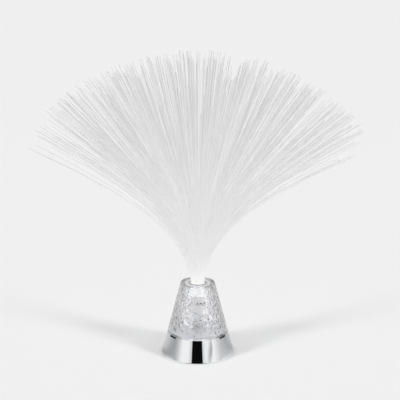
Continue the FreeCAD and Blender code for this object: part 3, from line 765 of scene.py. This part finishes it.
def rods(lines, thickness, resolution=0):
    """Round rods of one thickness along lines of points. Resolution 0 gives them four sides."""
    curve = bpy.data.curves.new("rods", "CURVE")
    curve.dimensions = "3D"
    curve.bevel_depth = thickness / 2
    curve.bevel_resolution = resolution
    curve.use_fill_caps = True
    for points in lines:
        spline = curve.splines.new("POLY")
        spline.points.add(len(points) - 1)
        for control, point in zip(spline.points, points):
            control.co = (*point, 1)
    drawn = bpy.data.objects.new("rods", curve)
    bpy.context.scene.collection.objects.link(drawn)
    bpy.context.view_layer.update()
    mesh = bpy.data.meshes.new_from_object(drawn)
    bpy.data.objects.remove(drawn)
    bm = bmesh.new()
    bm.from_mesh(mesh)
    bpy.data.meshes.remove(mesh)
    return bm


# %% [markdown]
# The measures come first, then the path of one strand, and then the strands in their rings.

# %% Fibre spray
strand_count = 860
strand_thickness = 0.46 * MM
pack_radius = sleeve_bore - strand_thickness
golden_angle = math.pi * (3 - math.sqrt(5))
outer_tilt = math.radians(61)
bend_length = 70 * MM
longest = 243 * MM
trim = 0.05
trim_power = 1.6
lock_count = 90
lock_pull = 0.45
# Random spreads: shares of the lean, the pull of a lock and the bend, and radians of the heading
lean_spread = (0.86, 1.06)
pull_spread = (0.4, 1.0)
bend_spread = (0.88, 1.14)
heading_spread = 0.10
# Distances along a strand, in millimetres, at which it gets a corner
marks = [0, 12, 28, 48, 74, 106, 146, 194, 243]
# Sideways lean in degrees of an even spray, and the lean that the photographed spray has there
combing = [(-62, -70), (-56, -60), (-52, -54), (0, 0), (41, 43.5), (41.6, 49), (55, 57), (62, 62)]
ring_total = 7
shading_rings = 4
box_low, box_high = Vector(cad_box[0]), Vector(cad_box[1])
random.seed(11)


def strand_points(start, heading, tilt, length, bend):
    """Points of a strand that leaves its start upright and leans towards a heading."""
    points = [Vector((start.x, start.y, sleeve_low.z))]
    place = Vector((start.x, start.y, sleeve_high.z))
    points.append(place.copy())
    across = Vector((math.cos(heading), math.sin(heading), 0))
    last = marks[-1]
    for low, high in zip(marks, marks[1:]):
        step = (high - low) / last * length
        middle = (high + low) / 2 / last * length
        lean = tilt * (1 - math.exp(-middle / bend))
        place = place + step * (across * math.sin(lean) + Vector((0, 0, math.cos(lean))))
        points.append(place.copy())
    return points


def combed(lean):
    """Sideways lean after the spray is parted: a gap to the right, and a loose edge to the left."""
    degrees = math.degrees(lean)
    for (even_low, low), (even_high, high) in zip(combing, combing[1:]):
        if degrees <= even_high:
            break
    return math.radians(low + (high - low) * (degrees - even_low) / (even_high - even_low))


def inside_box(point):
    """True where a point lies inside the box that the construction gives, less a strand."""
    return all(low + strand_thickness < value < high - strand_thickness
               for low, value, high in zip(box_low, point, box_high))


locks = []
for i in range(lock_count):
    lean = outer_tilt * math.sqrt((i + 0.5) / lock_count)
    locks.append((lean * math.cos(i * golden_angle), lean * math.sin(i * golden_angle)))

rings = [[] for ring in range(ring_total)]
for i in range(strand_count):
    share = math.sqrt((i + 0.5) / strand_count)
    bearing = i * golden_angle
    start = Vector((pack_radius * share * math.cos(bearing), pack_radius * share * math.sin(bearing), 0))
    lean = outer_tilt * share * random.uniform(*lean_spread)
    heading = bearing + random.gauss(0, heading_spread)
    aim = (lean * math.cos(heading), lean * math.sin(heading))
    lock = min(locks, key=lambda c: (c[0] - aim[0]) ** 2 + (c[1] - aim[1]) ** 2)
    pull = lock_pull * random.uniform(*pull_spread)
    aim = [a + (c - a) * pull for a, c in zip(aim, lock)]
    aim[0] = combed(aim[0])
    tilt = math.hypot(*aim)
    heading = math.atan2(aim[1], aim[0])
    length = longest * (1 - trim * random.random() ** trim_power)
    bend = bend_length * random.uniform(*bend_spread)
    points = strand_points(start, heading, tilt, length, bend)
    while not inside_box(points[-1]):
        length -= MM
        points = strand_points(start, heading, tilt, length, bend)
    rings[min(ring_total - 1, int(share * ring_total))].append(points)

for ring, strands in enumerate(rings):
    bm = rods(strands, strand_thickness)
    number = str(ring + 1)
    spray = piece("fibre_spray_" + number, bm, [fibre_acrylic], "lamp",
                  ["fibre_ring_" + number])
    spray.visible_shadow = ring < shading_rings
print(strand_count, "strands")

# %% [markdown]
# The mouldings of the underside keep the shape of their CAD nodes, but no moulding has knife edges.
# The construction has each wall and hole in its place, so nothing is drawn again. Each is copied,
# its flats are joined up again, and every sharp edge gets a small bevel.

# %% Soften the mouldings
merge_distance = 0.002 * MM
flat_turn = math.radians(1)
softened_turn = 35


def softened(node, width_mm, segments):
    """A copy of a CAD node's mesh with its flats joined up and its sharp edges bevelled."""
    bm = bmesh.new()
    bm.from_mesh(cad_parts[node].data)
    bmesh.ops.remove_doubles(bm, verts=bm.verts, dist=merge_distance)
    bmesh.ops.dissolve_limit(bm, angle_limit=flat_turn, verts=bm.verts, edges=bm.edges)
    round_edges(bm, width_mm, segments, softened_turn)
    return bm


for name, node, width_mm, material, body, slot in (
        ("underside_plate", "bay_plate", 0.15, black_abs, "lamp", "black_plastic"),
        ("battery_cover", "battery_door", 0.2, black_abs, "door", "black_plastic"),
        ("slider", "switch_knob", 0.1, knob_abs, "knob", "knob_plastic"),
        ("switch_can", "switch_body", 0.1, zinc_steel, "lamp", "zinc_steel"),
        ("contact_plates", "terminal_plates", 0.08, zinc_steel, "lamp", "zinc_steel")):
    weigh_normals(piece(name, softened(node, width_mm, 2), [material], body, [node]))

# %% [markdown]
# A screw is one turned outline: a domed head, then a shank whose outline zigzags like its thread.
# A true helix would cost many faces and show nowhere. A slot is cut across each head by boolean.

# %% Screws
head_radius = 2.1 * MM
head_height = 1.1 * MM
shank_radius = 1.1 * MM
thread_pitch = 0.6 * MM
thread_depth = 0.2 * MM
slot_width = 0.6 * MM
slot_depth = 0.5 * MM


def copies(shape, matrices):
    """One mesh with a copy of a shape at each matrix."""
    source = bpy.data.meshes.new("shape")
    shape.to_mesh(source)
    shape.free()
    bm = bmesh.new()
    for matrix in matrices:
        copy = source.copy()
        copy.transform(matrix)
        bm.from_mesh(copy)
        bpy.data.meshes.remove(copy)
    bpy.data.meshes.remove(source)
    return bm


def screw_shape(length):
    """A screw drawn head down: its face is at zero, and its tip at its length."""
    outline = [(0, 0), (0.55 * head_radius, 0.02 * MM), (0.86 * head_radius, 0.15 * MM),
               (head_radius, 0.45 * MM), (head_radius, head_height), (shank_radius, head_height)]
    z = head_height + thread_pitch / 2
    while z < length - thread_pitch:
        outline += [(shank_radius - thread_depth, z), (shank_radius, z + thread_pitch / 2)]
        z += thread_pitch
    return turn(outline + [(0.5 * shank_radius, length), (0, length)], 32, closed=False)


def screws(name, node, places, length, way, body):
    """Slotted screws at (x, y, face height) places. way is 1 where the heads look down."""
    turnover = Matrix.Rotation(0 if way > 0 else math.pi, 4, "X")
    matrices = [Matrix.Translation(place) @ turnover for place in places]
    obj = piece(name, copies(screw_shape(length), matrices), [zinc_steel], body, [node])
    cutter = bmesh.new()
    for matrix in matrices:
        made = bmesh.ops.create_cube(cutter, size=1.0)
        bmesh.ops.scale(cutter, vec=(slot_width, 3 * head_radius, 2 * slot_depth), verts=made["verts"])
        bmesh.ops.transform(cutter, matrix=matrix, verts=made["verts"])
    combine(obj, cutter, zinc_steel, "DIFFERENCE")
    weigh_normals(obj)


for name, node, way, body in (("plate_fixings", "plate_screws", 1, "lamp"),
                              ("cover_screw", "door_screw", 1, "door"),
                              ("board_fixings", "board_screws", -1, "lamp")):
    low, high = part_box(node)
    xs = [low.x + head_radius, high.x - head_radius] if node != "door_screw" else [(low.x + high.x) / 2]
    ys = [low.y + head_radius, high.y - head_radius] if node == "plate_screws" else [0]
    places = [Vector((x, y, low.z if way > 0 else high.z)) for x in xs for y in ys]
    screws(name, node, places, high.z - low.z, way, body)

# %% [markdown]
# Three AAA cells lie side by side, turned about. Each presses a cone-shaped coil spring at its flat end.
# A cell and a spring are drawn upright, because an outline is easiest to turn about Z, and then laid
# along X. A cell's outline has the crimped rim and the nub of the real one.

# %% Cells and springs
cell_low, cell_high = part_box("battery_1")
cell_z = (cell_low.z + cell_high.z) / 2
spring_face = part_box("contact_springs")[1].x
spring_length = 2.2 * MM
band_start = 34.0
bare_end_radius = 4.4 * MM
cell_outline = [(0, 0.15), (3.9, 0.15), (4.1, 0), (4.6, 0), (5.0, 0.12), (5.2, 0.5), (5.2, band_start),
                (5.2, 42.7), (5.05, 43.3), (4.6, 43.6), (4.2, 43.65), (4.0, 43.45), (2.1, 43.45),
                (1.95, 43.6), (1.9, 44.3), (1.7, 44.5), (0, 44.5)]


def laid(y, way, start):
    """Matrix that lays an upright shape along X in a row. It starts at this distance from the middle."""
    return Matrix.Translation((-way * start, y, cell_z)) @ Matrix.Rotation(way * math.pi / 2, 4, "Y")


rows = []
for number in (1, 2, 3):
    low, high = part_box("battery_" + str(number))
    rows.append(((low.y + high.y) / 2, 1 if number % 2 else -1))
for number, (y, way) in enumerate(rows, 1):
    bm = solid(cell_outline, 48)
    for face in bm.faces:
        centre = face.calc_center_median()
        bare, banded = centre.xy.length < bare_end_radius, centre.z > band_start * MM
        face.material_index = 1 if bare else 2 if banded else 0
    bm.transform(laid(y, way, spring_face - spring_length))
    weigh_normals(piece("cell_" + str(number), bm, [cell_wrap, zinc_steel, cell_band], "lamp",
                        ["battery_" + str(number)]))

coil_wire = 0.5 * MM
coil_turns = 3.5
coil_points = 28
coil_foot_radius = 3.3 * MM
coil_narrowing = 1.15 * MM
# Share of the coil at each end that lies flat
coil_flat = 0.15
coil = []
for i in range(int(coil_turns * coil_points) + 1):
    share = i / (coil_turns * coil_points)
    angle = 2 * math.pi * i / coil_points
    radius = coil_foot_radius - coil_narrowing * share
    climbed = min(1, max(0, (share - coil_flat) / (1 - 2 * coil_flat)))
    rise = coil_wire / 2 + (spring_length - coil_wire) * climbed
    coil.append(Vector((radius * math.cos(angle), radius * math.sin(angle), rise)))
springs = copies(rods([coil], coil_wire, 2), [laid(y, way, spring_face) for y, way in rows])
piece("coil_springs", springs, [zinc_steel], "lamp", ["contact_springs"])

# %% [markdown]
# The board carries a resistor, a small chip and the soldered joints of its leads.
# Joints are small turned cones of tin. Each leg of the chip is three boxes, which look bent at this
# size. The resistor is turned, and its bands are rings of faces.

# %% Board, chip and resistor
board_low, board_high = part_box("circuit_board")
board_top = board_high.z
pin_pitch = 2.54 * MM
terminal_pad_x = board_high.x - MM
switch_pad = (pin_pitch, board_low.y + MM)
resistor_y = 8.0 * MM
resistor_reach = 4.6 * MM
pads = [(terminal_pad_x, -rows[2][0]), (-terminal_pad_x, rows[2][0]), (-switch_pad[0], switch_pad[1]),
        switch_pad, (-pin_pitch / 2, 0), (pin_pitch / 2, 0), (-resistor_reach, resistor_y),
        (resistor_reach, resistor_y)]
joint_outline = [(0.95, 0), (0.9, 0.06), (0.7, 0.12), (0.4, 0.5), (0, 0.6)]


def merge(bm, other, index):
    """Add another mesh to this one, with all its faces on one material."""
    for face in other.faces:
        face.material_index = index
    mesh = bpy.data.meshes.new("part")
    other.to_mesh(mesh)
    other.free()
    bm.from_mesh(mesh)
    bpy.data.meshes.remove(mesh)


bm = softened("circuit_board", 0.08, 1)
joint = solid(joint_outline, 20)
merge(bm, copies(joint, [Matrix.Translation((x, y, board_top)) for x, y in pads]), 1)
weigh_normals(piece("printed_board", bm, [solder_mask, solder_tin], "lamp",
                    ["circuit_board"]))

chip_low, chip_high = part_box("control_chip")
# Size and middle of a leg's shoulder, drop and foot in millimetres, and the legs' places along the chip
leg_boxes = [((0.4, 0.45, 0.15), (0, 0.2, 0.8)), ((0.4, 0.15, 0.85), (0, 0.45, 0.45)),
             ((0.4, 0.6, 0.15), (0, 0.7, 0.08))]
leg_columns = (-1.9, -0.63, 0.63, 1.9)
bm = softened("control_chip", 0.12, 2)
leg = bmesh.new()
for size, place in leg_boxes:
    made = bmesh.ops.create_cube(leg, size=1.0)
    bmesh.ops.scale(leg, vec=[v * MM for v in size], verts=made["verts"])
    bmesh.ops.translate(leg, vec=[v * MM for v in place], verts=made["verts"])
chip_x = (chip_low.x + chip_high.x) / 2
leg_places = []
for column in leg_columns:
    x = chip_x + column * MM
    leg_places.append(Matrix.Translation((x, chip_high.y, board_top)))
    leg_places.append(Matrix.Translation((x, chip_low.y, board_top)) @ Matrix.Rotation(math.pi, 4, "Z"))
merge(bm, copies(leg, leg_places), 1)
weigh_normals(piece("soic_chip", bm, [epoxy_black, solder_tin], "lamp", ["control_chip"]))

low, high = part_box("resistor")
body_length = high.x - low.x
body_z = (low.z + high.z) / 2
resistor_outline = [(0, 0), (0.55, 0), (0.95, 0.2), (1.08, 0.6), (1.08, 1.4), (0.9, 1.8), (0.9, 2.2),
                    (0.9, 2.5), (0.9, 2.8), (0.9, 3.1), (0.9, 3.4), (0.9, 3.7), (0.9, 4.4), (1.08, 4.8),
                    (1.08, 5.6), (0.95, 6.0), (0.55, 6.2), (0, 6.2)]
# Middle of each coloured band along the body in millimetres, with its material
band_colours = {2.35: 1, 2.95: 2, 3.55: 3, 5.2: 4}
band_half_width = 0.15
resistor_leg = 0.5 * MM
bm = solid(resistor_outline, 24)
for face in bm.faces:
    centre = face.calc_center_median().z / MM
    face.material_index = next((index for z, index in band_colours.items()
                                if abs(centre - z) < band_half_width), 0)
bm.transform(Matrix.Translation((low.x, resistor_y, body_z)) @ Matrix.Rotation(math.pi / 2, 4, "Y"))
legs = []
for side in (-1, 1):
    path = [(body_length / 2, body_z), (resistor_reach - 0.4 * MM, body_z),
            (resistor_reach - 0.1 * MM, body_z - 0.15 * MM), (resistor_reach, body_z - 0.45 * MM),
            (resistor_reach, board_top)]
    legs.append([Vector((side * x, resistor_y, z)) for x, z in path])
merge(bm, rods(legs, resistor_leg, 1), 5)
piece("banded_resistor", bm, [resistor_beige, band_brown, epoxy_black, band_red, band_gold, solder_tin],
      "lamp", ["resistor"])

# %% [markdown]
# Insulated leads join the terminal plates, red and black, and the switch, white, to the board.
# They are fixed inside the lamp, so they aren't declared as cords. They follow the paths of the
# construction, with each corner eased into a short curve, as a real lead bends.

# %% Leads
lead_thickness = 0.95 * MM
lead_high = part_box("wires")[1]
# How far from a corner its curve begins
terminal_ease = 0.45 * MM
switch_ease = 0.9 * MM
# Past this distance from the middle a lead is a terminal's
terminal_side = 10 * MM


def eased(points, reach):
    """The same line with each corner replaced by a short curve."""
    line = [points[0]]
    for before, corner, after in zip(points, points[1:], points[2:]):
        start = corner + (before - corner).normalized() * reach
        end = corner + (after - corner).normalized() * reach
        for share in (0, 0.25, 0.5, 0.75, 1):
            line.append(start.lerp(corner, share).lerp(corner.lerp(end, share), share))
    return line + [points[-1]]


level = lead_high.z - 0.5 * MM
tag_x = spring_face + 0.2 * MM
tag_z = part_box("terminal_plates")[1].z
rise_x = board_high.x + MM
lines = []
for side, y in ((1, -rows[2][0]), (-1, rows[2][0])):
    path = [(tag_x, tag_z - 0.4 * MM), (tag_x, tag_z + MM), (rise_x, tag_z + MM), (rise_x, level),
            (board_high.x - MM, level), (board_high.x - MM, board_top)]
    lines.append(eased([Vector((side * x, y, z)) for x, z in path], terminal_ease))
switch_low, switch_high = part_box("switch_body")
switch_y = (switch_low.y + switch_high.y) / 2
switch_top = switch_high.z
# The switch's leads rise here, clear of the bay and of the board's edge
clear_y = -18.9 * MM
for x in (-switch_pad[0], switch_pad[0]):
    path = [(switch_y, switch_top - 0.2 * MM), (switch_y, switch_top + MM),
            (clear_y, switch_top + MM + clear_y - switch_y), (clear_y, level), (switch_pad[1], level),
            (switch_pad[1], board_top)]
    lines.append(eased([Vector((x, y, z)) for y, z in path], switch_ease))
bm = rods(lines, lead_thickness, 3)
for face in bm.faces:
    x = face.calc_center_median().x
    face.material_index = 0 if x > terminal_side else 1 if x < -terminal_side else 2
piece("leads", bm, [red_pvc, black_pvc, white_pvc], "lamp", ["wires"])
